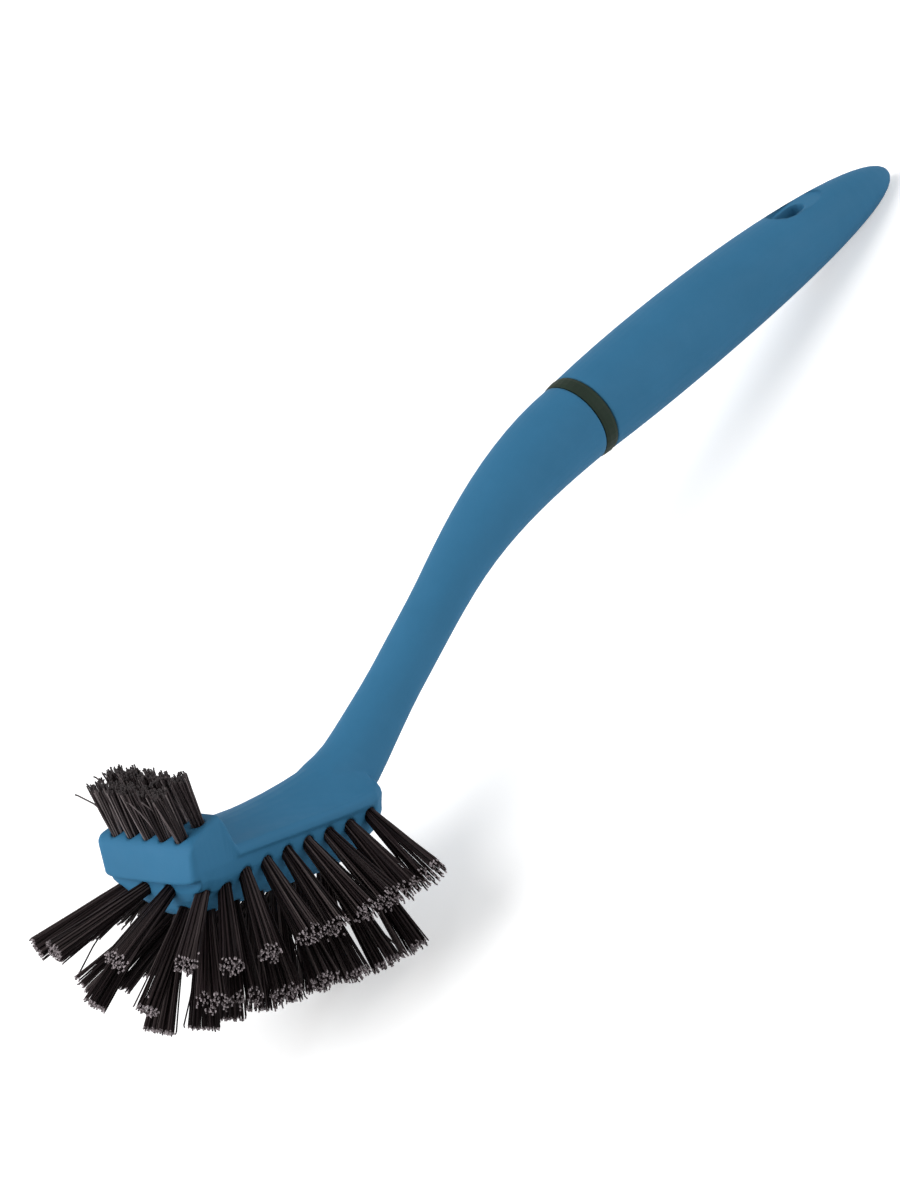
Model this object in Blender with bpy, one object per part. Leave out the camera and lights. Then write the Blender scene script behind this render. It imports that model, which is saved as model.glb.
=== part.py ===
"""A swan-neck utility brush: a drilled head and neck moulding, a soft ring, a grip and 53 bristle tufts.

The brush is drawn in the head's own frame: x runs from the head's front end towards the grip, y to the
right of someone who holds the grip, and z out of the head's back. The origin is the middle of the front
end's top edge. An empty then lays the whole brush on its bristle tips and the end of the grip.
"""
import math

import bmesh
import bpy
from mathutils import Matrix, Vector
from mathutils.geometry import delaunay_2d_cdt

# Fits and cuts
CLEARANCE = 0.0003
OVERRUN = 0.002
FLAT_DEPTH = 0.0005

# Head block
HEAD_LENGTH = 0.0680
HEAD_HALF_WIDTH = 0.0172
WAIST_HALF_WIDTH = 0.0155
FRONT_CORNER = 0.0017
REAR_CORNER_LENGTH = 0.0180
WALL_HEIGHT = 0.0075
WALL_DRAFT = 0.0007
EDGE_RADIUS = 0.0013
LIP_DEPTH = 0.0021
LIP_BULGE = 0.0026
LIP_FADE = 0.0022
LIP_POWER = 0.40
BELLY_DEPTH = 0.0143
REAR_RISE = 0.0094
REAR_CORNER_POWER = 6
REAR_FULLNESS_SHARE = 0.45

# Pad that carries the top tufts, and the roof behind it
PAD_LENGTH = 0.0121
PAD_REAR_HALF_WIDTH = 0.0148
PAD_SLOPE = math.radians(19.0)
PAD_EDGE_RADIUS = 0.0020
ROOF_START = 0.0165
ROOF_EDGE_RADIUS = 0.0026
ROOF_POWER = 1.4
LEDGE_DROP = 0.0040
RIDGE_DROP = 0.0012
RIDGE_RISE = 0.0086
RIDGE_POWER = 2.45
HEEL_RISE = 0.0026
HEEL_POWER = 8

# Neck, as a straight run between two bends with a short one at its end, and the grip's gentle arch
ROOT_SETBACK = 0.0180
ROOT_X = HEAD_LENGTH - ROOT_SETBACK
ROOT_DROP = 0.0063
ROOT_BEND = 0.0220
NECK_STRAIGHT = 0.0497
NECK_BEND = 0.0520
NECK_END_STRAIGHT = 0.0013
ROOT_SLOPE = math.radians(5.0)
NECK_SLOPE = math.radians(41.3)
SHOULDER_SLOPE = math.radians(18.0)
GRIP_END_SLOPE = math.radians(15.0)
NECK_HALF_WIDTH = 0.0067
NECK_HALF_HEIGHT = 0.0065
ROOT_FLARE_LENGTH = 0.0420
ROOT_FLARE_WIDTH = 0.0024
ROOT_FLARE_HEIGHT = 0.0030
ROOT_FLARE_POWER = 1.3
ROOT_SINK_LENGTH = 0.0120
ROOT_SINK_SHARE = 0.25
NECK_SLIM_LENGTH = 0.0600
SHOULDER_HALF_WIDTH = 0.0104
SHOULDER_HALF_HEIGHT = 0.0102

# Ring, collar and tang
RING_WIDTH = 0.0036
RING_PROUD = 0.0002
RING_EDGE_SHARE = 0.25
COLLAR_RADIUS = 0.0052
TANG_LENGTH = 0.0460
TANG_RADIUS = 0.0048
TANG_TIP_RADIUS = 0.0041
TANG_RIB_WIDTH = 0.0026

# Grip
GRIP_LENGTH = 0.1110
GRIP_MOUTH_HALF_WIDTH = 0.0107
GRIP_MOUTH_HALF_HEIGHT = 0.0105
GRIP_HALF_WIDTH = 0.0115
GRIP_HALF_HEIGHT = 0.0110
GRIP_SWELL_LENGTH = 0.0250
GRIP_FULLNESS_SHARE = 0.44

# Hanging hole and its scoop
HANG_PLACE = 0.0790
HANG_LENGTH = 0.0090
HANG_WIDTH = 0.0054
SCOOP_LENGTH = 0.0165
SCOOP_WIDTH = 0.0084
SCOOP_DEPTH = 0.0008

# Tufts, holes and anchors
HOLE_RADIUS = 0.0018
HOLE_DEPTH = 0.0055
ROOT_RECESS = 0.0006
STRAND_RADIUS = 0.00036
STRAND_RING_RADIUS = 0.00105
STRAND_SPLAY = 0.0014
STRAND_STAGGER = 0.0005
STAGGER_TURN = 2.4
ANCHOR_THICKNESS = 0.0004
ANCHOR_WIDTH = 0.0022
ANCHOR_DEPTH = 0.0012
SIDE_TUFT_LENGTH = 0.0265
INNER_TUFT_LENGTH = 0.0280
TOP_TUFT_LENGTH = 0.0134

# Rows of tufts
SIDE_ROW_COUNT = 9
SIDE_ROW_FIRST = 0.0046
SIDE_ROW_MARGIN = 0.0091
SIDE_ROW_LAST = HEAD_LENGTH - SIDE_ROW_MARGIN
SIDE_ROW_OFFSET = 0.0146
SIDE_ROW_TUCK = 0.0014
SIDE_ROW_TUCK_POWER = 3
INNER_ROW_COUNT = 7
INNER_ROW_FIRST = 0.0108
INNER_ROW_MARGIN = 0.0102
INNER_ROW_LAST = HEAD_LENGTH - INNER_ROW_MARGIN
INNER_ROW_OFFSET = 0.0072
CENTRE_ROW_COUNT = 7
CENTRE_ROW_FIRST = 0.0082
CENTRE_ROW_MARGIN = 0.0136
CENTRE_ROW_LAST = HEAD_LENGTH - CENTRE_ROW_MARGIN
NOSE_UPPER_OFFSET = 0.0044
NOSE_LOWER_OFFSET = 0.0054
NOSE_UPPER_SHARE = 0.214
NOSE_LOWER_SHARE = 0.742
TOP_ROW_COUNT = 5
TOP_ROW_PITCH = 0.0057
TOP_ROW_FIRST = 0.0024
TOP_ROW_SPACING = 0.0058

# Fan of the tufts: lean is towards the front, flare is to the side
SIDE_LEAN_REAR = math.radians(8.0)
SIDE_LEAN_FRONT = math.radians(50.0)
SIDE_LEAN_POWER = 3.2
SIDE_FLARE_FRONT = math.radians(50.0)
SIDE_FLARE_REAR = math.radians(62.0)
INNER_LEAN_REAR = math.radians(0.0)
INNER_LEAN_FRONT = math.radians(38.0)
INNER_LEAN_POWER = 1.5
INNER_FLARE_FRONT = math.radians(43.0)
INNER_FLARE_REAR = math.radians(36.0)
CENTRE_LEAN_REAR = math.radians(3.0)
CENTRE_LEAN_FRONT = math.radians(26.0)
CENTRE_LEAN_POWER = 3.0
NOSE_UPPER_LEAN = math.radians(65.0)
NOSE_UPPER_FLARE = math.radians(34.0)
NOSE_LOWER_LEAN = math.radians(45.0)
NOSE_LOWER_FLARE = math.radians(14.0)

# Facets
SECTION_STEPS = 7
EDGE_STEPS = 3
CORNER_STEPS = 4
RAMP_STEPS = 4
ROUND_SIDES = 36
HOLE_SIDES = 10
STRAND_SIDES = 3
OUTER_STRANDS = 8
ROOF_STEPS = 5
NOSE_STEPS = 6
REAR_STEPS = 6
REAR_END_SHARE = 0.92
BEND_STEPS = 10
STRAIGHT_STEPS = 6
GRIP_STEPS = 22
GRIP_END_SHARE = 0.975
SLOT_STEPS = 6
PITCH_STEPS = 40
STEEPEST_PITCH = math.pi / 3
SHARP_ANGLE = math.radians(38.0)
TINY = 1e-7

# Colours as linear red, green and blue
BLUE = (0.045, 0.160, 0.290)
RING_BLACK = (0.020, 0.028, 0.020)
BRISTLE_BLACK = (0.018, 0.013, 0.013)
PLASTIC_ROUGHNESS = 0.42
RUBBER_ROUGHNESS = 0.60
BRISTLE_ROUGHNESS = 0.45


def clear_scene():
    for obj in list(bpy.data.objects):
        bpy.data.objects.remove(obj, do_unlink=True)


def plastic(name, colour, roughness):
    """A Principled material with the part's colour and roughness."""
    material = bpy.data.materials.new(name)
    material.use_nodes = True
    shader = material.node_tree.nodes["Principled BSDF"]
    shader.inputs["Base Color"].default_value = (*colour, 1.0)
    shader.inputs["Roughness"].default_value = roughness
    shader.inputs["Metallic"].default_value = 0.0
    material.diffuse_color = (*colour, 1.0)
    return material


def object_from(bm, name, material=None):
    """A new object that holds this mesh, shaded smooth but for its real edges."""
    bmesh.ops.recalc_face_normals(bm, faces=bm.faces)
    mesh = bpy.data.meshes.new(name)
    bm.to_mesh(mesh)
    bm.free()
    mesh.shade_smooth()
    mesh.set_sharp_from_angle(angle=SHARP_ANGLE)
    if material:
        mesh.materials.append(material)
    obj = bpy.data.objects.new(name, mesh)
    bpy.context.scene.collection.objects.link(obj)
    return obj


def helper_from(bm, name):
    """A cutter or a body to be joined: it isn't rendered."""
    obj = object_from(bm, name)
    obj.hide_render = True
    obj.display_type = "WIRE"
    return obj


def add_boolean(obj, operation, other):
    modifier = obj.modifiers.new(f"{operation.lower()} {other.name}", "BOOLEAN")
    modifier.operation = operation
    modifier.object = other
    modifier.solver = "EXACT"


def loft(bm, rings, tip=None):
    """A closed skin through rings of points with flat ends, the last one a fan about a tip if given."""
    loops = [[bm.verts.new(point) for point in ring] for ring in rings]
    for one, two in zip(loops, loops[1:]):
        for k in range(len(one)):
            after = (k + 1) % len(one)
            bm.faces.new((one[k], one[after], two[after], two[k]))
    bm.faces.new(reversed(loops[0]))
    if tip:
        last = loops[-1]
        middle = bm.verts.new(tip)
        for k in range(len(last)):
            bm.faces.new((last[k], last[(k + 1) % len(last)], middle))
    else:
        bm.faces.new(loops[-1])
    bmesh.ops.triangulate(bm, faces=bm.faces)


def ellipse_ring(centre, along, half_width, half_height, sides=ROUND_SIDES):
    """Points of an ellipse square to a direction in the plane of symmetry."""
    up = Vector((-along.z, 0.0, along.x))
    side = Vector((0.0, 1.0, 0.0))
    ring = []
    for k in range(sides):
        turn = math.tau * k / sides
        ring.append(centre + side * half_width * math.sin(turn) + up * half_height * math.cos(turn))
    return ring


def bend_point(start, slope, end_slope, length, share):
    """The point and direction at a share of an arc that starts at a slope and ends at another."""
    turn = end_slope - slope
    here = slope + turn * share
    if abs(turn) < TINY:
        reach, rise = length * share * math.cos(slope), length * share * math.sin(slope)
    else:
        radius = length / turn
        reach = radius * (math.sin(here) - math.sin(slope))
        rise = radius * (math.cos(slope) - math.cos(here))
    return start + Vector((reach, 0.0, rise)), Vector((math.cos(here), 0.0, math.sin(here)))


def neck_point(distance):
    """The neck's centre line, by distance from its root, running on straight past the shoulder."""
    root = Vector((ROOT_X, 0.0, -ROOT_DROP))
    if distance <= ROOT_BEND:
        return bend_point(root, ROOT_SLOPE, NECK_SLOPE, ROOT_BEND, distance / ROOT_BEND)
    knee, _ = bend_point(root, ROOT_SLOPE, NECK_SLOPE, ROOT_BEND, 1.0)
    distance -= ROOT_BEND
    if distance <= NECK_STRAIGHT:
        return bend_point(knee, NECK_SLOPE, NECK_SLOPE, NECK_STRAIGHT, distance / NECK_STRAIGHT)
    crook, _ = bend_point(knee, NECK_SLOPE, NECK_SLOPE, NECK_STRAIGHT, 1.0)
    distance -= NECK_STRAIGHT
    if distance <= NECK_BEND:
        return bend_point(crook, NECK_SLOPE, SHOULDER_SLOPE, NECK_BEND, distance / NECK_BEND)
    shoulder, along = bend_point(crook, NECK_SLOPE, SHOULDER_SLOPE, NECK_BEND, 1.0)
    return shoulder + along * (distance - NECK_BEND), along


NECK_LENGTH = ROOT_BEND + NECK_STRAIGHT + NECK_BEND + NECK_END_STRAIGHT


def grip_start():
    """The grip's mouth face: where the ring ends."""
    return neck_point(NECK_LENGTH + RING_WIDTH + 2 * CLEARANCE)


def grip_point(distance):
    mouth, _ = grip_start()
    return bend_point(mouth, SHOULDER_SLOPE, GRIP_END_SLOPE, GRIP_LENGTH, distance / GRIP_LENGTH)


def half_width(x):
    """Half the head's width at its top edge."""
    if x < FRONT_CORNER:
        inset = 1.0 - x / FRONT_CORNER
        return HEAD_HALF_WIDTH - FRONT_CORNER * (1.0 - math.sqrt(1.0 - inset * inset))
    if x < ROOF_START:
        share = (x - FRONT_CORNER) / (ROOF_START - FRONT_CORNER)
        return HEAD_HALF_WIDTH + (WAIST_HALF_WIDTH - HEAD_HALF_WIDTH) * share
    corner = max(0.0, x - (HEAD_LENGTH - REAR_CORNER_LENGTH)) / REAR_CORNER_LENGTH
    return WAIST_HALF_WIDTH * max(0.0, 1.0 - corner ** REAR_CORNER_POWER) ** REAR_FULLNESS_SHARE


def belly_depth(x):
    """How far the belly bulges below the side walls, on the centre line."""
    if x <= LIP_DEPTH:
        return LIP_BULGE
    nose_end = PAD_LENGTH
    if x < nose_end:
        inset = 1.0 - (x - LIP_DEPTH) / (nose_end - LIP_DEPTH)
        return LIP_BULGE + (BELLY_DEPTH - LIP_BULGE) * math.sqrt(1.0 - inset * inset)
    rear = max(0.0, x - (HEAD_LENGTH - REAR_CORNER_LENGTH)) / REAR_CORNER_LENGTH
    return BELLY_DEPTH - REAR_RISE * rear * rear


def belly_half_width(x):
    return half_width(x) - WALL_DRAFT


def belly_power(x):
    """How round the belly's outline is across: boxy at the front lip, an ellipse behind it."""
    fade = min(1.0, max(0.0, (x - LIP_DEPTH) / LIP_FADE))
    return LIP_POWER + (1.0 - LIP_POWER) * fade


def belly_point(x, y):
    """The point of the belly's surface at a place in plan."""
    power = belly_power(x)
    across = min(1.0, abs(y) / belly_half_width(x)) ** (2.0 / power)
    drop = WALL_HEIGHT + belly_depth(x) * (1.0 - across) ** (power / 2.0)
    return Vector((x, y, -drop))


def pad_height(x):
    return x * math.tan(PAD_SLOPE)


def top_heights(x):
    """Heights of the head's top on the centre line and at its side edge."""
    if x < PAD_EDGE_RADIUS:
        inset = 1.0 - x / PAD_EDGE_RADIUS
        height = pad_height(x) - PAD_EDGE_RADIUS * (1.0 - math.sqrt(1.0 - inset * inset))
        return height, height
    if x <= PAD_LENGTH:
        return pad_height(x), pad_height(x)
    if x < ROOF_START:
        share = (x - PAD_LENGTH) / (ROOF_START - PAD_LENGTH)
        fall = smooth(share)
        pad = pad_height(PAD_LENGTH)
        return pad - (pad + RIDGE_DROP) * fall, pad - (pad + LEDGE_DROP) * fall
    share = (x - ROOF_START) / (HEAD_LENGTH - ROOF_START)
    return RIDGE_RISE * share ** RIDGE_POWER - RIDGE_DROP, HEEL_RISE * share ** HEEL_POWER - LEDGE_DROP


def head_section(x):
    """The head's outline in the plane at x, from the top's middle round and back."""
    ridge, edge = top_heights(x)
    width, radius = half_width(x), ROOF_EDGE_RADIUS
    if x <= PAD_LENGTH:
        width = min(width, HEAD_HALF_WIDTH + (PAD_REAR_HALF_WIDTH - HEAD_HALF_WIDTH) * x / PAD_LENGTH)
        radius = EDGE_RADIUS
    elif x < ROOF_START:
        share = (x - PAD_LENGTH) / (ROOF_START - PAD_LENGTH)
        width = PAD_REAR_HALF_WIDTH + (width - PAD_REAR_HALF_WIDTH) * share
        radius = EDGE_RADIUS + (ROOF_EDGE_RADIUS - EDGE_RADIUS) * share
    flat = width - radius
    half = []
    for k in range(ROOF_STEPS + 1):
        share = k / ROOF_STEPS
        fall = max(0.0, math.cos(share * math.pi / 2)) ** ROOF_POWER
        half.append((flat * share, edge + (ridge - edge) * fall))
    for k in range(1, EDGE_STEPS + 1):
        turn = k / EDGE_STEPS * math.pi / 2
        half.append((flat + radius * math.sin(turn), edge - radius * (1.0 - math.cos(turn))))
    low_width, power = belly_half_width(x), belly_power(x)
    for k in range(SECTION_STEPS):
        turn = k / SECTION_STEPS * math.pi / 2
        drop = WALL_HEIGHT + belly_depth(x) * math.sin(turn) ** power
        half.append((low_width * math.cos(turn) ** power, -drop))
    half.append((0.0, -WALL_HEIGHT - belly_depth(x)))
    right = [Vector((x, y, z)) for y, z in half]
    left = [Vector((x, -y, z)) for y, z in half[-2:0:-1]]
    return right + left


def head_stations():
    """Places along the head where its outline is drawn, closer where it changes fast."""
    places = []
    for k in range(CORNER_STEPS + 1):
        places.append(LIP_DEPTH * (1.0 - math.cos(k / CORNER_STEPS * math.pi / 2)))
    for k in range(1, NOSE_STEPS + 1):
        turn = k / NOSE_STEPS * math.pi / 2
        places.append(LIP_DEPTH + (PAD_LENGTH - LIP_DEPTH) * (1.0 - math.cos(turn)))
    for k in range(1, RAMP_STEPS + 1):
        places.append(PAD_LENGTH + (ROOF_START - PAD_LENGTH) * k / RAMP_STEPS)
    rear = HEAD_LENGTH - REAR_CORNER_LENGTH
    for k in range(1, STRAIGHT_STEPS):
        places.append(ROOF_START + (rear - ROOF_START) * k / (STRAIGHT_STEPS - 1))
    for k in range(1, REAR_STEPS + 1):
        turn = REAR_END_SHARE * k / REAR_STEPS * math.pi / 2
        places.append(rear + REAR_CORNER_LENGTH * math.sin(turn))
    return places


def smooth(share):
    share = min(1.0, max(0.0, share))
    return share * share * (3.0 - 2.0 * share)


def neck_halves(distance):
    """The neck's half width and half height: flared at the root, slim, then swelling to the shoulder."""
    swell = smooth((distance - NECK_SLIM_LENGTH) / (NECK_LENGTH - NECK_SLIM_LENGTH))
    width = NECK_HALF_WIDTH + (SHOULDER_HALF_WIDTH - NECK_HALF_WIDTH) * swell
    height = NECK_HALF_HEIGHT + (SHOULDER_HALF_HEIGHT - NECK_HALF_HEIGHT) * swell
    flare = max(0.0, 1.0 - distance / ROOT_FLARE_LENGTH) ** ROOT_FLARE_POWER
    sink = ROOT_SINK_SHARE + (1.0 - ROOT_SINK_SHARE) * smooth(distance / ROOT_SINK_LENGTH)
    return width + ROOT_FLARE_WIDTH * flare, height + ROOT_FLARE_HEIGHT * flare * sink


def make_neck_body():
    """The neck's outer form from inside the head to the shoulder."""
    rings = []
    steps = BEND_STEPS + STRAIGHT_STEPS + BEND_STEPS
    for k in range(steps + 1):
        distance = NECK_LENGTH * k / steps
        centre, along = neck_point(distance)
        rings.append(ellipse_ring(centre, along, *neck_halves(distance)))
    bm = bmesh.new()
    loft(bm, rings)
    return helper_from(bm, "neck_body")


def tang_ring(distance, radius):
    """The cross-shaped outline of the tang."""
    centre, along = neck_point(NECK_LENGTH + distance)
    up = Vector((-along.z, 0.0, along.x))
    side = Vector((0.0, 1.0, 0.0))
    rib = TANG_RIB_WIDTH / 2
    corners = []
    for k in range(4):
        turn = math.tau * k / 4
        one = side * math.cos(turn) + up * math.sin(turn)
        two = up * math.cos(turn) - side * math.sin(turn)
        corners.append(centre + one * radius - two * rib)
        corners.append(centre + one * radius + two * rib)
        corners.append(centre + one * rib + two * rib)
    return corners


def make_collar_and_tang():
    """The round collar under the ring and the ribbed tang inside the grip, to be joined to the neck."""
    bm = bmesh.new()
    collar_end = RING_WIDTH + 2 * CLEARANCE
    rings = []
    for distance in (-OVERRUN, collar_end):
        centre, along = neck_point(NECK_LENGTH + distance)
        rings.append(ellipse_ring(centre, along, COLLAR_RADIUS, COLLAR_RADIUS))
    loft(bm, rings)
    collar = helper_from(bm, "collar_body")
    bm = bmesh.new()
    loft(bm, [tang_ring(-OVERRUN, TANG_RADIUS), tang_ring(TANG_LENGTH, TANG_TIP_RADIUS)])
    tang = helper_from(bm, "tang_body")
    return collar, tang


def make_hole_cutters(tufts):
    """One cutter that holds a drill for each tuft's hole."""
    bm = bmesh.new()
    for tuft in tufts:
        frame = tuft_frame(tuft)
        rings = []
        for depth in (-HOLE_DEPTH, OVERRUN):
            ring = []
            for k in range(HOLE_SIDES):
                turn = math.tau * k / HOLE_SIDES
                point = (HOLE_RADIUS * math.cos(turn), HOLE_RADIUS * math.sin(turn), depth)
                ring.append(frame @ Vector(point))
            rings.append(ring)
        loft(bm, rings)
    return helper_from(bm, "hole_drills")


def make_head(material, tufts):
    bm = bmesh.new()
    stations = head_stations()
    loft(bm, [head_section(x) for x in stations], Vector((stations[-1], 0.0, -WALL_HEIGHT)))
    head = object_from(bm, "head_and_neck", material)
    helpers = [make_neck_body(), *make_collar_and_tang()]
    for helper in helpers:
        add_boolean(head, "UNION", helper)
    drills = make_hole_cutters(tufts)
    add_boolean(head, "DIFFERENCE", drills)
    return head, [*helpers, drills]


def make_ring(material):
    """The soft band, a little proud of the neck and crowned across its width."""
    bm = bmesh.new()
    rings = []
    for share in (0.0, RING_EDGE_SHARE, 1.0 - RING_EDGE_SHARE, 1.0):
        centre, along = neck_point(NECK_LENGTH + CLEARANCE + RING_WIDTH * share)
        proud = RING_PROUD if 0.0 < share < 1.0 else 0.0
        width = SHOULDER_HALF_WIDTH + (GRIP_MOUTH_HALF_WIDTH - SHOULDER_HALF_WIDTH) * share + proud
        height = SHOULDER_HALF_HEIGHT + (GRIP_MOUTH_HALF_HEIGHT - SHOULDER_HALF_HEIGHT) * share + proud
        rings.append(ellipse_ring(centre, along, width, height))
    loft(bm, rings)
    ring = object_from(bm, "soft_ring", material)
    bm = bmesh.new()
    bore = []
    for distance in (-OVERRUN, RING_WIDTH + OVERRUN):
        centre, along = neck_point(NECK_LENGTH + distance)
        radius = COLLAR_RADIUS + CLEARANCE
        bore.append(ellipse_ring(centre, along, radius, radius))
    loft(bm, bore)
    cutter = helper_from(bm, "ring_bore")
    add_boolean(ring, "DIFFERENCE", cutter)
    return ring, [cutter]


def grip_halves(distance):
    """The grip's half width and half height: a swell behind the mouth, then a long rounded taper."""
    if distance < GRIP_SWELL_LENGTH:
        share = 1.0 - (1.0 - distance / GRIP_SWELL_LENGTH) ** 2
        width = GRIP_MOUTH_HALF_WIDTH + (GRIP_HALF_WIDTH - GRIP_MOUTH_HALF_WIDTH) * share
        height = GRIP_MOUTH_HALF_HEIGHT + (GRIP_HALF_HEIGHT - GRIP_MOUTH_HALF_HEIGHT) * share
        return width, height
    share = (distance - GRIP_SWELL_LENGTH) / (GRIP_LENGTH - GRIP_SWELL_LENGTH)
    taper = max(0.0, 1.0 - share * share) ** GRIP_FULLNESS_SHARE
    return GRIP_HALF_WIDTH * taper, GRIP_HALF_HEIGHT * taper


def grip_rings():
    rings = []
    for k in range(GRIP_STEPS + 1):
        turn = GRIP_END_SHARE * k / GRIP_STEPS * math.pi / 2
        distance = GRIP_LENGTH * math.sin(turn)
        centre, along = grip_point(distance)
        rings.append(ellipse_ring(centre, along, *grip_halves(distance)))
    return rings


def stadium(length, width, steps=SLOT_STEPS):
    """Outline points of a slot with round ends, as pairs along and across."""
    radius = width / 2
    straight = length / 2 - radius
    points = []
    for sign in (1.0, -1.0):
        for k in range(steps + 1):
            turn = -math.pi / 2 + math.pi * k / steps
            points.append((sign * (straight + radius * math.cos(turn)), sign * radius * math.sin(turn)))
    return points


def make_slot_cutter(name, place, length, width, low, high):
    """A cutter with round ends that stands square to the grip at a place along it."""
    centre, along = grip_point(place)
    up = Vector((-along.z, 0.0, along.x))
    side = Vector((0.0, 1.0, 0.0))
    outline = stadium(length, width)
    rings = [[centre + along * a + side * b + up * level for a, b in outline] for level in (low, high)]
    bm = bmesh.new()
    loft(bm, rings)
    return helper_from(bm, name)


def scoop_floor_level():
    """Height of the scoop's flat floor above the grip's centre line."""
    return grip_halves(HANG_PLACE + SCOOP_LENGTH / 2)[1] - SCOOP_DEPTH


def make_grip(material):
    bm = bmesh.new()
    loft(bm, grip_rings())
    grip = object_from(bm, "grip", material)
    bm = bmesh.new()
    socket = []
    radius = COLLAR_RADIUS + CLEARANCE
    depth = TANG_LENGTH - RING_WIDTH + OVERRUN
    mouth, along = grip_start()
    for distance in (-OVERRUN, depth):
        socket.append(ellipse_ring(mouth + along * distance, along, radius, radius))
    loft(bm, socket)
    socket_cutter = helper_from(bm, "grip_socket")
    reach = GRIP_HALF_HEIGHT + OVERRUN
    scoop_place = HANG_PLACE + (SCOOP_LENGTH - HANG_LENGTH) / 2 - (SCOOP_WIDTH - HANG_WIDTH) / 2
    floor = scoop_floor_level()
    scoop = make_slot_cutter("scoop_cutter", scoop_place, SCOOP_LENGTH, SCOOP_WIDTH, floor, reach)
    hole = make_slot_cutter("hang_hole_cutter", HANG_PLACE, HANG_LENGTH, HANG_WIDTH, -reach, reach)
    cutters = [socket_cutter, scoop, hole]
    for cutter in cutters:
        add_boolean(grip, "DIFFERENCE", cutter)
    return grip, cutters


def disc_with_islands(radius, sides, islands):
    """A flat disc cut into triangles round some islands: points, all faces, and each island's faces."""
    turns = [math.tau * k / sides for k in range(sides)]
    points = [Vector((radius * math.cos(turn), radius * math.sin(turn))) for turn in turns]
    edges = [(k, (k + 1) % sides) for k in range(sides)]
    for island in islands:
        first = len(points)
        points += [Vector(point) for point in island]
        edges += [(first + k, first + (k + 1) % len(island)) for k in range(len(island))]
    placed, _, faces, _, _, _ = delaunay_2d_cdt(points, edges, [], 0, TINY)
    owned = []
    for face in faces:
        middle = sum((placed[k] for k in face), Vector((0.0, 0.0))) / len(face)
        owner = [n for n, island in enumerate(islands) if inside(middle, island)]
        owned.append(owner[0] if owner else -1)
    return placed, faces, owned


def inside(point, outline):
    """Whether a point lies in a convex outline that runs anticlockwise."""
    for k, here in enumerate(outline):
        after = outline[(k + 1) % len(outline)]
        across = (after[0] - here[0]) * (point[1] - here[1]) - (after[1] - here[1]) * (point[0] - here[0])
        if across < 0.0:
            return False
    return True


def strand_outlines():
    """Where each strand stands on the packed root, and its small outline there."""
    centres = [(0.0, 0.0)]
    for k in range(OUTER_STRANDS):
        turn = math.tau * k / OUTER_STRANDS
        centres.append((STRAND_RING_RADIUS * math.cos(turn), STRAND_RING_RADIUS * math.sin(turn)))
    outlines = []
    for n, (x, y) in enumerate(centres):
        start = math.atan2(y, x) + (math.pi if n % 2 else 0.0)
        outline = []
        for k in range(STRAND_SIDES):
            turn = start + math.tau * k / STRAND_SIDES
            outline.append((x + STRAND_RADIUS * math.cos(turn), y + STRAND_RADIUS * math.sin(turn)))
        outlines.append(outline)
    return centres, outlines


def make_tuft_mesh(name, length, material):
    """A tuft along z, with z = 0 at the head's surface: packed root, metal anchor below, strands above."""
    root_radius = HOLE_RADIUS - CLEARANCE
    low = CLEARANCE + ANCHOR_DEPTH - HOLE_DEPTH
    centres, outlines = strand_outlines()
    half, thick = ANCHOR_WIDTH / 2, ANCHOR_THICKNESS / 2
    blade = [(-half, -thick), (half, -thick), (half, thick), (-half, thick)]
    bm = bmesh.new()
    ends = {}
    for level, islands in ((-ROOT_RECESS, outlines), (low, [blade])):
        placed, faces, owned = disc_with_islands(root_radius, HOLE_SIDES, islands)
        verts = [bm.verts.new((point.x, point.y, level)) for point in placed]
        made = {}
        for face, owner in zip(faces, owned):
            made.setdefault(owner, []).append(bm.faces.new([verts[k] for k in face]))
        ends[level] = (verts[:HOLE_SIDES], made)
    rims = [ends[-ROOT_RECESS][0], ends[low][0]]
    for k in range(HOLE_SIDES):
        after = (k + 1) % HOLE_SIDES
        bm.faces.new((rims[0][k], rims[1][k], rims[1][after], rims[0][after]))
    for owner, faces in ends[-ROOT_RECESS][1].items():
        if owner < 0:
            continue
        centre = Vector((*centres[owner], 0.0))
        stagger = STRAND_STAGGER * math.sin(owner * STAGGER_TURN)
        spread = centre / STRAND_RING_RADIUS * STRAND_SPLAY
        raise_faces(bm, faces, spread + Vector((0.0, 0.0, length + ROOT_RECESS + stagger)))
    raise_faces(bm, ends[low][1][0], Vector((0.0, 0.0, -ANCHOR_DEPTH)))
    bmesh.ops.recalc_face_normals(bm, faces=bm.faces)
    bmesh.ops.triangulate(bm, faces=bm.faces)
    mesh = bpy.data.meshes.new(name)
    bm.to_mesh(mesh)
    bm.free()
    mesh.shade_smooth()
    mesh.set_sharp_from_angle(angle=SHARP_ANGLE)
    mesh.materials.append(material)
    return mesh


def raise_faces(bm, faces, shift):
    """Extrudes some faces of a closed mesh along a shift."""
    made = bmesh.ops.extrude_face_region(bm, geom=faces)
    bmesh.ops.translate(bm, verts=[v for v in made["geom"] if isinstance(v, bmesh.types.BMVert)], vec=shift)
    bmesh.ops.delete(bm, geom=faces, context="FACES_ONLY")


def fan_direction(lean, flare, side):
    """Which way a bottom tuft points: leaning to the front and flaring to one side."""
    across = math.cos(lean) * math.sin(flare)
    return Vector((-math.sin(lean), side * across, -math.cos(lean) * math.cos(flare)))


def mixed(rear, front, share, power):
    return rear + (front - rear) * (1.0 - share) ** power


def nose_point(offset, share):
    """The point of the nose's front wall at an offset and a share of the way down its curve."""
    x = LIP_DEPTH + (PAD_LENGTH - LIP_DEPTH) * (1.0 - math.sqrt(1.0 - share * share))
    return belly_point(x, offset)


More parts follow.
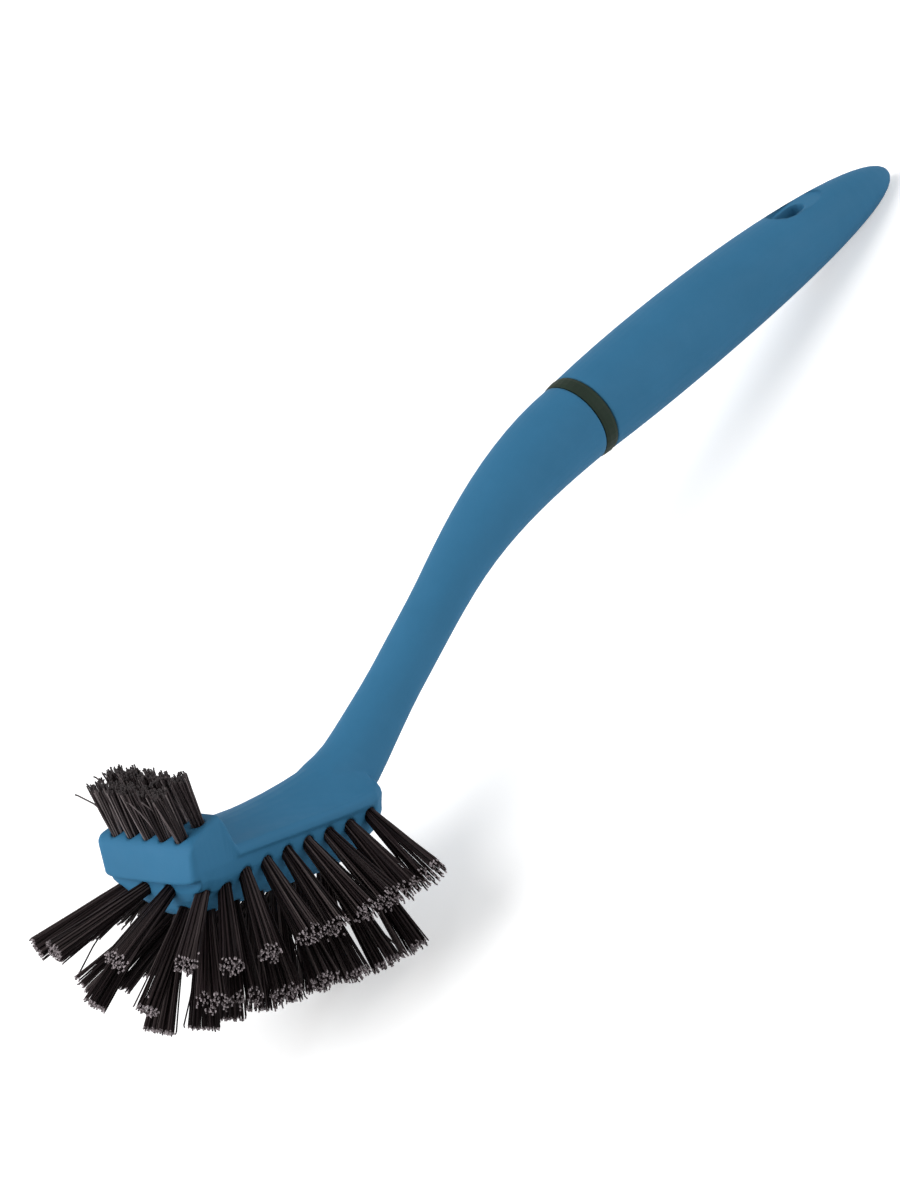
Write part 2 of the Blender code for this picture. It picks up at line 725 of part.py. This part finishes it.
def row_places(first, last, count):
    """Places along a row with their shares of its length."""
    return [(first + (last - first) * k / (count - 1), k / (count - 1)) for k in range(count)]


def side_row(side, word):
    """The outermost row on one side, flared far out over the edge of the head."""
    tufts = []
    for k, (x, share) in enumerate(row_places(SIDE_ROW_FIRST, SIDE_ROW_LAST, SIDE_ROW_COUNT)):
        lean = mixed(SIDE_LEAN_REAR, SIDE_LEAN_FRONT, share, SIDE_LEAN_POWER)
        flare = mixed(SIDE_FLARE_REAR, SIDE_FLARE_FRONT, share, 1.0)
        offset = SIDE_ROW_OFFSET - SIDE_ROW_TUCK * (1.0 - share) ** SIDE_ROW_TUCK_POWER
        base = belly_point(x, side * offset)
        tufts.append((f"side_tuft_{word}_{k + 1}", base, fan_direction(lean, flare, side), "side"))
    return tufts


def inner_row(side, word):
    """The row between the side row and the centre row."""
    tufts = []
    for k, (x, share) in enumerate(row_places(INNER_ROW_FIRST, INNER_ROW_LAST, INNER_ROW_COUNT)):
        lean = mixed(INNER_LEAN_REAR, INNER_LEAN_FRONT, share, INNER_LEAN_POWER)
        flare = mixed(INNER_FLARE_REAR, INNER_FLARE_FRONT, share, 1.0)
        base = belly_point(x, side * INNER_ROW_OFFSET)
        tufts.append((f"inner_tuft_{word}_{k + 1}", base, fan_direction(lean, flare, side), "inner"))
    return tufts


def nose_tufts(side, word):
    """The two tufts on one side of the nose, which point forward."""
    upper = nose_point(side * NOSE_UPPER_OFFSET, NOSE_UPPER_SHARE)
    lower = nose_point(side * NOSE_LOWER_OFFSET, NOSE_LOWER_SHARE)
    return [
        (f"nose_tuft_upper_{word}", upper, fan_direction(NOSE_UPPER_LEAN, NOSE_UPPER_FLARE, side), "inner"),
        (f"nose_tuft_lower_{word}", lower, fan_direction(NOSE_LOWER_LEAN, NOSE_LOWER_FLARE, side), "inner"),
    ]


def centre_row():
    tufts = []
    for k, (x, share) in enumerate(row_places(CENTRE_ROW_FIRST, CENTRE_ROW_LAST, CENTRE_ROW_COUNT)):
        lean = mixed(CENTRE_LEAN_REAR, CENTRE_LEAN_FRONT, share, CENTRE_LEAN_POWER)
        tufts.append((f"centre_tuft_{k + 1}", belly_point(x, 0.0), fan_direction(lean, 0.0, 1.0), "inner"))
    return tufts


def top_rows():
    """The short scrubbing tufts, square to the sloping pad."""
    tufts = []
    normal = Vector((-math.sin(PAD_SLOPE), 0.0, math.cos(PAD_SLOPE)))
    for row, word in enumerate(("front", "rear")):
        x = TOP_ROW_FIRST + TOP_ROW_SPACING * row
        for k in range(TOP_ROW_COUNT):
            y = TOP_ROW_PITCH * (k - (TOP_ROW_COUNT - 1) / 2)
            tufts.append((f"top_tuft_{word}_{k + 1}", Vector((x, y, pad_height(x))), normal, "top"))
    return tufts


def list_tufts():
    """Every tuft as its name, its base on the surface, its direction and its kind."""
    tufts = centre_row() + top_rows()
    for side, word in ((-1.0, "left"), (1.0, "right")):
        tufts += side_row(side, word) + inner_row(side, word) + nose_tufts(side, word)
    return tufts


def tuft_frame(tuft):
    """The placing of a tuft: its own z along its direction, its base at its place."""
    _, base, direction, _ = tuft
    turn = direction.to_track_quat("Z", "Y").to_matrix().to_4x4()
    return Matrix.Translation(base) @ turn


def make_tufts(tufts, material):
    meshes = {
        "side": make_tuft_mesh("side_tuft", SIDE_TUFT_LENGTH, material),
        "inner": make_tuft_mesh("inner_tuft", INNER_TUFT_LENGTH, material),
        "top": make_tuft_mesh("top_tuft", TOP_TUFT_LENGTH, material),
    }
    made = []
    for tuft in tufts:
        obj = bpy.data.objects.new(tuft[0], meshes[tuft[3]])
        bpy.context.scene.collection.objects.link(obj)
        obj.matrix_world = tuft_frame(tuft)
        made.append(obj)
    return made


def points_of(obj):
    return [obj.matrix_world @ vertex.co for vertex in obj.data.vertices]


def resting_pitch(tufts, grip):
    """The pitch, grip down, at which the bristle tips and the grip's end are level.

    The tips are let down by the depth of the flat that is cut on them.
    """
    tips = [point for tuft in tufts for point in points_of(tuft)]
    body = points_of(grip)
    low, high = 0.0, STEEPEST_PITCH
    for _ in range(PITCH_STEPS):
        pitch = (low + high) / 2
        turn = Matrix.Rotation(pitch, 4, "Y")
        tip = min((turn @ point).z for point in tips) + FLAT_DEPTH
        heel = min((turn @ point).z for point in body)
        low, high = (low, pitch) if heel < tip else (pitch, high)
    return (low + high) / 2


def lay_down(objects, tufts, grip):
    """Parents everything to an empty that lays the brush on the ground, its box's base on the origin."""
    turn = Matrix.Rotation(resting_pitch(tufts, grip), 4, "Y")
    solids = [obj for obj in objects if not obj.hide_render]
    points = [turn @ point for obj in solids for point in points_of(obj)]
    middle = [(min(p[axis] for p in points) + max(p[axis] for p in points)) / 2 for axis in (0, 1)]
    ground = min((turn @ point).z for point in points_of(grip))
    rest = bpy.data.objects.new("brush", None)
    bpy.context.scene.collection.objects.link(rest)
    rest.matrix_world = Matrix.Translation((-middle[0], -middle[1], -ground)) @ turn
    bpy.context.view_layer.update()
    for obj in objects:
        placed = obj.matrix_world.copy()
        obj.parent = rest
        obj.matrix_parent_inverse = Matrix.Identity(4)
        obj.matrix_basis = placed
    bpy.context.view_layer.update()


def cut_flat(tuft):
    """Cuts a tuft's strands level with the ground where they reach below it."""
    if min(point.z for point in points_of(tuft)) > -CLEARANCE / 10:
        return
    tuft.data = tuft.data.copy()
    bm = bmesh.new()
    bm.from_mesh(tuft.data)
    back = tuft.matrix_world.inverted()
    place = back @ Vector((0.0, 0.0, 0.0))
    up = (back.to_3x3() @ Vector((0.0, 0.0, 1.0))).normalized()
    everything = [*bm.verts, *bm.edges, *bm.faces]
    bmesh.ops.bisect_plane(bm, geom=everything, plane_co=place, plane_no=up, clear_inner=True)
    open_edges = [edge for edge in bm.edges if edge.is_boundary]
    bmesh.ops.holes_fill(bm, edges=open_edges, sides=0)
    bmesh.ops.recalc_face_normals(bm, faces=bm.faces)
    bmesh.ops.triangulate(bm, faces=bm.faces)
    bm.to_mesh(tuft.data)
    bm.free()


def main():
    clear_scene()
    blue = plastic("blue_plastic", BLUE, PLASTIC_ROUGHNESS)
    black = plastic("black_rubber", RING_BLACK, RUBBER_ROUGHNESS)
    bristle = plastic("black_bristle", BRISTLE_BLACK, BRISTLE_ROUGHNESS)
    tuft_list = list_tufts()
    head, head_helpers = make_head(blue, tuft_list)
    ring, ring_helpers = make_ring(black)
    grip, grip_helpers = make_grip(blue)
    tufts = make_tufts(tuft_list, bristle)
    bpy.context.view_layer.update()
    lay_down([head, ring, grip, *tufts, *head_helpers, *ring_helpers, *grip_helpers], tufts, grip)
    for tuft in tufts:
        cut_flat(tuft)


main()
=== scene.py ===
"""Looks of the swan-neck utility brush: moulded blue plastic, a dark soft ring and full black tufts.

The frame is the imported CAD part. Head, neck, ring and grip keep their CAD shapes and get materials here.
Each formed tuft of the frame is replaced by a fuller one with fine filaments, in the same hole and with
the same direction and length, measured from the node that it replaces.
"""
import math
import random

import bmesh
import bpy
import numpy as np
from mathutils import Matrix, Vector


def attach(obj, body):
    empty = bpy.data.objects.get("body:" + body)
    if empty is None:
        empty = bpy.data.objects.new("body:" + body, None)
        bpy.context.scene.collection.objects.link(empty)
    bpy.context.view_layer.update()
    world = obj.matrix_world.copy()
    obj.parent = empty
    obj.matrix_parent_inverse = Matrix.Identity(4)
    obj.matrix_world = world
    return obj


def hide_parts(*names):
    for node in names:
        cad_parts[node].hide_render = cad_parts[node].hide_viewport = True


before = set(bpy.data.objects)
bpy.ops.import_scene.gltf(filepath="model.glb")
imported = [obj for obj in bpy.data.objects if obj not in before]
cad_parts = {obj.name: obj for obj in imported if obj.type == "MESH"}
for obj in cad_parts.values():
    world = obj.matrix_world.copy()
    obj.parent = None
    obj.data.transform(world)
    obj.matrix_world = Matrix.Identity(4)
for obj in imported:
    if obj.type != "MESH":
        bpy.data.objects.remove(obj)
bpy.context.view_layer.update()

# Photograph: its height in pixels and its scale at the head
PHOTO_HEIGHT = 1197
PIXELS_PER_METRE = 4226.0

# Camera: which way it looks at the brush, and the point in the middle of its picture
CAMERA_AZIMUTH = math.radians(-28.26)
CAMERA_ELEVATION = math.radians(32.83)
CAMERA_ROLL = math.radians(-39.23)
CAMERA_DISTANCE = 9.3
CAMERA_AIM = Vector((-0.0399, -0.0490, 0.0733))
SENSOR_WIDTH = 36.0
CLIP_START = 0.1
CLIP_END = 100.0

# Light: the strength of the world and of each lamp, where each lamp shines from, and how soft it is
WORLD_STRENGTH = 0.32
KEY_STRENGTH = 2.08
KEY_FROM = Vector((-0.53, 0.21, 0.82))
LOW_STRENGTH = 1.20
LOW_FROM = Vector((-0.73, 0.68, 0.06))
FILL_STRENGTH = 1.38
FILL_FROM = Vector((0.70, -0.70, 0.15))
SOFT_ANGLE = math.radians(50.0)

# Floor: half its width, its colour, and the glow that makes it white to the camera
FLOOR_HALF = 3.0
FLOOR_COLOUR = (0.92, 0.92, 0.92)
FLOOR_GLOW = 0.44

# Filament: its radius and sides, its split end's length, and the room between it and the floor
FILAMENT_RADIUS = 0.00021
FILAMENT_SIDES = 5
SPLIT_LENGTH = 0.0006
GROUND_GAP = 0.00005

# Styles of filament: stretches along it, noise in its length, and how far its split end turns aside
FAN_STYLE = (4, 0.00032, 0.00015)
SCRUB_STYLE = (3, 0.00055, 0.00012)

# Bundle: its filaments, their turn from one to the next, its radius, and its swelling near the hole
FILAMENTS_PER_TUFT = 56
GOLDEN_TURN = math.pi * (3.0 - math.sqrt(5.0))
BUNDLE_RADIUS = 0.00159
BUNDLE_SWELL = 0.00018
SWELL_SHARE = 0.25

# Splay: how far the first and the last tuft of a row open at their tips, and how late they open
SIDE_SPLAY = (0.0011, 0.0024)
INNER_SPLAY = (0.0024, 0.0022)
NOSE_SPLAY = (0.0013, 0.0013)
TOP_SPLAY = (0.0006, 0.0006)
SPLAY_POWER = 1.2

# Irregularity: of a filament's turn, splay and bend, of a tuft's lean, and a few stray filaments
TURN_NOISE = 0.3
SPLAY_NOISE = 0.00016
BEND_NOISE = 0.00025
LEAN_NOISE = 0.020
STRAY_SHARE = 0.025
STRAY_BEND = 0.0026

# Root of a tuft in the frame: packed filaments with the anchor below, its face a little in the hole
ROOT_LENGTH = 0.0052
ROOT_RECESS = 0.0006
FACE_BAND = 0.0004
ROOT_RADIUS = 0.00150
ROOT_SIDES = 16
ANCHOR_POINTS = 4
STRAND_STAGGER = 0.0005
SAME_POINT_DIGITS = 7

# Where the filaments start, a little inside the root
FILAMENT_START = -1.5 * ROOT_RECESS

# Rows of bottom tufts, each one piece here: what their nodes' names start with, and their splay
BOTTOM_ROWS = {
    "centre_row": ("centre_tuft_", INNER_SPLAY),
    "inner_row_left": ("inner_tuft_left_", INNER_SPLAY),
    "inner_row_right": ("inner_tuft_right_", INNER_SPLAY),
    "side_row_left": ("side_tuft_left_", SIDE_SPLAY),
    "side_row_right": ("side_tuft_right_", SIDE_SPLAY),
    "nose": ("nose_tuft_", NOSE_SPLAY),
}

# Colours, linear
BLUE = (0.0360, 0.170, 0.317)
BLUE_DEEP = (0.0315, 0.155, 0.289)
RING_BLACK = (0.006, 0.015, 0.008)
RING_BLOOM = (0.0096, 0.0240, 0.0128)
BRISTLE_BLACK = (0.0040, 0.0026, 0.0028)
# The lighter brown is partly the filaments' own brown cast and partly painted sheen; the grey stands for
# painted sheen along the filaments
BRISTLE_BROWN = (0.025, 0.017, 0.018)
BRISTLE_SHEEN_GREY = (0.085, 0.068, 0.067)
# The top tufts' colours: a lighter copy of the bottom tufts', painted light where they catch the light
# from above; the grey is painted sheen
LIT_SCRUB_BLACK = (0.012, 0.009, 0.010)
LIT_SCRUB_BROWN = (0.090, 0.071, 0.073)
LIT_SCRUB_SHEEN_GREY = (0.300, 0.258, 0.258)
CUT_END = (0.430, 0.372, 0.392)
WORN_END = (0.016, 0.012, 0.013)

# Patterns in the materials: the scale, detail and roughness of each noise
CLOUDS = (55.0, 4.0, 0.6)
BLOTCHES = (240.0, 3.0, 0.5)
SINK_WAVES = (60.0, 1.0, 0.5)
PLASTIC_GRAIN = (2600.0, 2.0, 0.5)
DUSTY_BLOOM = (350.0, 5.0, 0.65)
RUBBER_GRAIN = (3500.0, 2.0, 0.5)
SCUFFS = (900.0, 2.0, 0.5)
FRAYING = (1800.0, 2.0, 0.5)

# Where the colours of a ramp sit along its pattern
CLOUD_STOPS = (0.30, 0.70)
BLOOM_STOPS = (0.35, 0.80)
TONE_STOPS = (0.0, 0.72, 1.0)
FRAY_STOPS = (0.40, 0.60)

# Relief: the distance and strength of each bump, and how far and how finely the shading eases edges
SINK_RELIEF = (0.0004, 0.20)
PLASTIC_RELIEF = (0.00004, 0.25)
RUBBER_RELIEF = (0.00005, 0.5)
EDGE_EASE = 0.0012
EDGE_SAMPLES = 6

# Gloss: each roughness, mostly a range, and each specular level
PLASTIC_ROUGHNESS = (0.60, 0.76)
RUBBER_ROUGHNESS = (0.55, 0.75)
FILAMENT_ROUGHNESS = (0.38, 0.56)
END_ROUGHNESS = 0.8
PLASTIC_SPECULAR = 0.18
RUBBER_SPECULAR = 0.22
FILAMENT_SPECULAR = 0.06


def add_object(name, data):
    """A new object in the scene."""
    item = bpy.data.objects.new(name, data)
    bpy.context.scene.collection.objects.link(item)
    return item


def new_material(name):
    """A material with its node tree and its shader."""
    material = bpy.data.materials.new(name)
    material.use_nodes = True
    return material, material.node_tree, material.node_tree.nodes["Principled BSDF"]


def object_coords(tree):
    """Places measured on the object, in metres."""
    return tree.nodes.new("ShaderNodeTexCoord").outputs["Object"]


def noise(tree, coords, pattern):
    """A noise from 0 to 1 over the object."""
    node = tree.nodes.new("ShaderNodeTexNoise")
    for socket, value in zip(("Scale", "Detail", "Roughness"), pattern):
        node.inputs[socket].default_value = value
    tree.links.new(coords, node.inputs["Vector"])
    return node.outputs["Fac"]


def ramp(tree, value, stops, colours):
    """A colour ramp with a colour at each of its stops."""
    node = tree.nodes.new("ShaderNodeValToRGB")
    elements = node.color_ramp.elements
    while len(elements) < len(stops):
        elements.new(0.5)
    for element, position, colour in zip(elements, stops, colours):
        element.position = position
        element.color = (*colour, 1.0)
    tree.links.new(value, node.inputs["Fac"])
    return node.outputs["Color"]


def spread(tree, value, low, high):
    """A value from 0 to 1 mapped between two others."""
    node = tree.nodes.new("ShaderNodeMapRange")
    node.inputs["To Min"].default_value = low
    node.inputs["To Max"].default_value = high
    tree.links.new(value, node.inputs["Value"])
    return node.outputs["Result"]


def eased_normal(tree):
    """The surface's direction, averaged over a small distance, as a mould's polished edges are."""
    node = tree.nodes.new("ShaderNodeBevel")
    node.samples = EDGE_SAMPLES
    node.inputs["Radius"].default_value = EDGE_EASE
    return node.outputs["Normal"]


def bump(tree, height, relief, normal=None):
    """The surface's direction, or the one given, with a relief on it."""
    distance, strength = relief
    node = tree.nodes.new("ShaderNodeBump")
    node.inputs["Distance"].default_value = distance
    node.inputs["Strength"].default_value = strength
    tree.links.new(height, node.inputs["Height"])
    if normal:
        tree.links.new(normal, node.inputs["Normal"])
    return node.outputs["Normal"]


def shown_rays(tree):
    """1 on rays that show the surroundings: the camera's own, and those by way of gloss or glass."""
    path = tree.nodes.new("ShaderNodeLightPath")
    shown = path.outputs["Is Camera Ray"]
    for kind in ("Is Glossy Ray", "Is Transmission Ray"):
        either = tree.nodes.new("ShaderNodeMath")
        either.operation = "MAXIMUM"
        tree.links.new(shown, either.inputs[0])
        tree.links.new(path.outputs[kind], either.inputs[1])
        shown = either.outputs[0]
    return shown


def moulded_plastic():
    """Satin polypropylene: faint flow clouds in the colour, a fine grain, and broad sink waves."""
    material, tree, shader = new_material("blue_moulded_plastic")
    coords = object_coords(tree)
    colour = ramp(tree, noise(tree, coords, CLOUDS), CLOUD_STOPS, (BLUE_DEEP, BLUE))
    tree.links.new(colour, shader.inputs["Base Color"])
    roughness = spread(tree, noise(tree, coords, BLOTCHES), *PLASTIC_ROUGHNESS)
    tree.links.new(roughness, shader.inputs["Roughness"])
    normal = bump(tree, noise(tree, coords, SINK_WAVES), SINK_RELIEF, eased_normal(tree))
    normal = bump(tree, noise(tree, coords, PLASTIC_GRAIN), PLASTIC_RELIEF, normal)
    tree.links.new(normal, shader.inputs["Normal"])
    shader.inputs["Specular IOR Level"].default_value = PLASTIC_SPECULAR
    return material


def soft_rubber():
    """Dull dark rubber with a dusty bloom and a fine matt grain."""
    material, tree, shader = new_material("dark_soft_rubber")
    coords = object_coords(tree)
    bloom = noise(tree, coords, DUSTY_BLOOM)
    colour = ramp(tree, bloom, BLOOM_STOPS, (RING_BLACK, RING_BLOOM))
    tree.links.new(colour, shader.inputs["Base Color"])
    tree.links.new(spread(tree, bloom, *RUBBER_ROUGHNESS), shader.inputs["Roughness"])
    normal = bump(tree, noise(tree, coords, RUBBER_GRAIN), RUBBER_RELIEF)
    tree.links.new(normal, shader.inputs["Normal"])
    shader.inputs["Specular IOR Level"].default_value = RUBBER_SPECULAR
    return material


def filament_plastic(name, black, brown, grey):
    """Black filament with a brown cast, each one in its own tone at random; its lighter brown and grey
    tones are partly painted sheen along the filaments.
    """
    material, tree, shader = new_material(name)
    tone = tree.nodes.new("ShaderNodeNewGeometry").outputs["Random Per Island"]
    tree.links.new(ramp(tree, tone, TONE_STOPS, (black, brown, grey)), shader.inputs["Base Color"])
    scuffs = noise(tree, object_coords(tree), SCUFFS)
    tree.links.new(spread(tree, scuffs, *FILAMENT_ROUGHNESS), shader.inputs["Roughness"])
    shader.inputs["Specular IOR Level"].default_value = FILAMENT_SPECULAR
    return material


def filament_end(name, colour):
    """The split and frayed end of a filament, with patches of dark brown."""
    material, tree, shader = new_material(name)
    fraying = noise(tree, object_coords(tree), FRAYING)
    mixed = ramp(tree, fraying, FRAY_STOPS, (BRISTLE_BROWN, colour))
    tree.links.new(mixed, shader.inputs["Base Color"])
    shader.inputs["Roughness"].default_value = END_ROUGHNESS
    return material


def nodes_named(start):
    """The frame's nodes whose names start like this."""
    return sorted(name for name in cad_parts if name.startswith(start))


def unique_points(node):
    """The points of a node of the frame, each one once."""
    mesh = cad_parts[node].data
    points = np.array([vertex.co for vertex in mesh.vertices], float)
    return np.unique(np.round(points, SAME_POINT_DIGITS), axis=0)


def tuft_line(node):
    """The base point at the hole's mouth, the direction and the length of a tuft of the frame."""
    points = unique_points(node)
    middle = points.mean(0)
    along = np.linalg.svd(points - middle)[2][0]
    reach = (points - middle) @ along
    # The root has more points than the tips, which shows which way is out
    if (reach > reach.max() - ROOT_LENGTH).sum() > (reach < reach.min() + ROOT_LENGTH).sum():
        along, reach = -along, -reach
    # The direction runs from the anchor's end to the middle of the root's face
    deep = points[np.argsort(reach)[:ANCHOR_POINTS]].mean(0)
    height = reach - reach.min()
    face = points[np.abs(height - (ROOT_LENGTH - ROOT_RECESS)) < FACE_BAND].mean(0)
    along = (face - deep) / np.linalg.norm(face - deep)
    base = face + along * ROOT_RECESS
    length = ((points - base) @ along).max() - STRAND_STAGGER
    return base, along, length


def across_axes(along):
    """Two directions square to a line."""
    one = np.cross(along, (0.0, 1.0, 0.0))
    one /= np.linalg.norm(one)
    return one, np.cross(along, one)


def around(axes, turn):
    """The direction at an angle about a line."""
    one, two = axes
    return one * math.cos(turn) + two * math.sin(turn)


def random_aside(axes, size, draw):
    """A random step to the side of a line."""
    one, two = axes
    return one * draw.gauss(0.0, size) + two * draw.gauss(0.0, size)


def add_tube(verts, faces, marks, path, radius, sides, split=0):
    """Adds a closed tube along a path. A mark is 1 on its last split stretches and their end face."""
    first = len(verts)
    for k, point in enumerate(path):
        ahead = path[min(k + 1, len(path) - 1)] - path[max(k - 1, 0)]
        axes = across_axes(ahead / np.linalg.norm(ahead))
        for s in range(sides):
            verts.append(point + radius * around(axes, math.tau * s / sides))
    for k in range(len(path) - 1):
        for s in range(sides):
            here, after = first + k * sides + s, first + k * sides + (s + 1) % sides
            faces.append((here, after, after + sides, here + sides))
            marks.append(int(k >= len(path) - 1 - split))
    faces.append(tuple(first + s for s in reversed(range(sides))))
    marks.append(0)
    last = first + (len(path) - 1) * sides
    faces.append(tuple(last + s for s in range(sides)))
    marks.append(int(split > 0))


def add_split_end(path, axes, split_turn, draw):
    """Stops a filament's path above the floor, and turns a last short stretch aside."""
    low = GROUND_GAP + FILAMENT_RADIUS
    before, tip = path[-2], path[-1]
    if tip[2] < low:
        tip = before + (tip - before) * (before[2] - low) / (before[2] - tip[2])
    reach = np.linalg.norm(tip - before)
    path[-1] = tip + (before - tip) * SPLIT_LENGTH / reach
    tip = tip + random_aside(axes, split_turn, draw)
    tip[2] = max(tip[2], low)
    path.append(tip)


def add_tuft(verts, faces, marks, line, splay, style, draw):
    """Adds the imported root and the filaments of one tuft."""
    base, along, length = line
    stretches, length_noise, split_turn = style
    axes = across_axes(along)
    root = [base - along * ROOT_LENGTH, base - along * ROOT_RECESS]
    add_tube(verts, faces, marks, root, ROOT_RADIUS, ROOT_SIDES)
    lean = random_aside(axes, LEAN_NOISE, draw)
    for k in range(FILAMENTS_PER_TUFT):
        place = math.sqrt((k + 0.5) / FILAMENTS_PER_TUFT)
        out = around(axes, k * GOLDEN_TURN + draw.uniform(-TURN_NOISE, TURN_NOISE))
        side = random_aside(axes, 1.0, draw)
        bend = STRAY_BEND if draw.random() < STRAY_SHARE else BEND_NOISE
        reach = length + draw.uniform(-length_noise, length_noise)
        fan = splay * place + draw.gauss(0.0, SPLAY_NOISE)
        path = []
        for level in [FILAMENT_START, *(reach * s / stretches for s in range(stretches + 1))]:
            share = max(0.0, level / reach)
            swell = BUNDLE_SWELL * min(1.0, share / SWELL_SHARE)
            point = base + along * level + out * (BUNDLE_RADIUS + swell) * place
            opened = (out * fan + lean * length) * share**SPLAY_POWER
            path.append(point + opened + side * bend * share * share)
        add_split_end(path, axes, split_turn, draw)
        add_tube(verts, faces, marks, path, FILAMENT_RADIUS, FILAMENT_SIDES, 1)


def make_bristles(name, nodes, splay, style, seed, materials):
    """One piece that holds the full tufts of a row, in place of the row's nodes."""
    draw = random.Random(seed)
    verts, faces, marks = [], [], []
    first, last = splay
    for k, node in enumerate(nodes):
        opening = first + (last - first) * k / (len(nodes) - 1)
        add_tuft(verts, faces, marks, tuft_line(node), opening, style, draw)
    mesh = bpy.data.meshes.new(name)
    mesh.from_pydata([tuple(v) for v in verts], [], faces)
    for material in materials:
        mesh.materials.append(material)
    mesh.polygons.foreach_set("material_index", marks)
    mesh.polygons.foreach_set("use_smooth", [len(face) == 4 for face in faces])
    mesh.update()
    piece = add_object(name, mesh)
    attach(piece, "root")
    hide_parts(*nodes)


def dress_bristles():
    """Every tuft of the frame, row by row."""
    # Bottom tufts: black filament whose lighter tones are partly painted sheen
    fan_materials = (
        filament_plastic("black_filament", BRISTLE_BLACK, BRISTLE_BROWN, BRISTLE_SHEEN_GREY),
        filament_end("cut_filament_end", CUT_END),
    )
    # Top tufts: a lighter copy of the same filament, painted light from above
    scrub_materials = (
        filament_plastic("lit_scrub_filament", LIT_SCRUB_BLACK, LIT_SCRUB_BROWN, LIT_SCRUB_SHEEN_GREY),
        filament_end("worn_filament_end", WORN_END),
    )
    for seed, (row, (start, splay)) in enumerate(BOTTOM_ROWS.items()):
        make_bristles(f"bristles_{row}", nodes_named(start), splay, FAN_STYLE, seed, fan_materials)
    for seed, row in enumerate(("front", "rear"), len(BOTTOM_ROWS)):
        nodes = nodes_named(f"top_tuft_{row}_")
        make_bristles(f"bristles_top_{row}", nodes, TOP_SPLAY, SCRUB_STYLE, seed, scrub_materials)


def dress_node(name, material):
    """Gives a node that keeps its CAD shape its material."""
    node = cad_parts[name]
    node.data.materials.clear()
    node.data.materials.append(material)


def make_floor():
    """A pale floor that shows white to the camera and still takes the brush's shadow."""
    bm = bmesh.new()
    bmesh.ops.create_grid(bm, x_segments=1, y_segments=1, size=FLOOR_HALF)
    mesh = bpy.data.meshes.new("floor")
    bm.to_mesh(mesh)
    bm.free()
    floor = add_object("floor", mesh)
    material, tree, shader = new_material("pale_floor")
    tree.nodes.remove(shader)
    matt = tree.nodes.new("ShaderNodeBsdfDiffuse")
    matt.inputs["Color"].default_value = (*FLOOR_COLOUR, 1.0)
    glow = tree.nodes.new("ShaderNodeEmission")
    tree.links.new(spread(tree, shown_rays(tree), 0.0, FLOOR_GLOW), glow.inputs["Strength"])
    both = tree.nodes.new("ShaderNodeAddShader")
    tree.links.new(matt.outputs[0], both.inputs[0])
    tree.links.new(glow.outputs[0], both.inputs[1])
    tree.links.new(both.outputs[0], tree.nodes["Material Output"].inputs["Surface"])
    mesh.materials.append(material)


def make_world():
    """Even pale light from all round, white to the camera."""
    world = bpy.data.worlds.new("studio")
    world.use_nodes = True
    tree = world.node_tree
    background = tree.nodes["Background"]
    background.inputs["Color"].default_value = (1.0, 1.0, 1.0, 1.0)
    strength = spread(tree, shown_rays(tree), WORLD_STRENGTH, 1.0)
    tree.links.new(strength, background.inputs["Strength"])
    bpy.context.scene.world = world


def make_sun(name, come_from, strength):
    """A soft lamp that shines from one direction."""
    light = bpy.data.lights.new(name, "SUN")
    light.energy = strength
    light.angle = SOFT_ANGLE
    lamp = add_object(name, light)
    lamp.rotation_mode = "QUATERNION"
    lamp.rotation_quaternion = come_from.to_track_quat("Z", "Y")


def make_camera():
    """The photograph's viewpoint: a long lens, rolled so that the brush stands up in the picture."""
    flat = math.cos(CAMERA_ELEVATION)
    back = Vector((
        math.sin(CAMERA_AZIMUTH) * flat,
        -math.cos(CAMERA_AZIMUTH) * flat,
        math.sin(CAMERA_ELEVATION),
    ))
    turn = back.to_track_quat("Z", "Y").to_matrix() @ Matrix.Rotation(CAMERA_ROLL, 3, "Z")
    data = bpy.data.cameras.new("photo_camera")
    data.sensor_width = SENSOR_WIDTH
    data.lens = SENSOR_WIDTH * CAMERA_DISTANCE * PIXELS_PER_METRE / PHOTO_HEIGHT
    data.clip_start = CLIP_START
    data.clip_end = CLIP_END
    camera = add_object("photo_camera", data)
    camera.matrix_world = Matrix.Translation(CAMERA_AIM + back * CAMERA_DISTANCE) @ turn.to_4x4()
    bpy.context.scene.camera = camera


blue = moulded_plastic()
dress_node("head_and_neck", blue)
dress_node("grip", blue)
dress_node("soft_ring", soft_rubber())
dress_bristles()
make_floor()
make_world()
make_sun("key_light", KEY_FROM, KEY_STRENGTH)
make_sun("low_light", LOW_FROM, LOW_STRENGTH)
make_sun("fill_light", FILL_FROM, FILL_STRENGTH)
make_camera()
bpy.context.scene.view_settings.view_transform = "Standard"
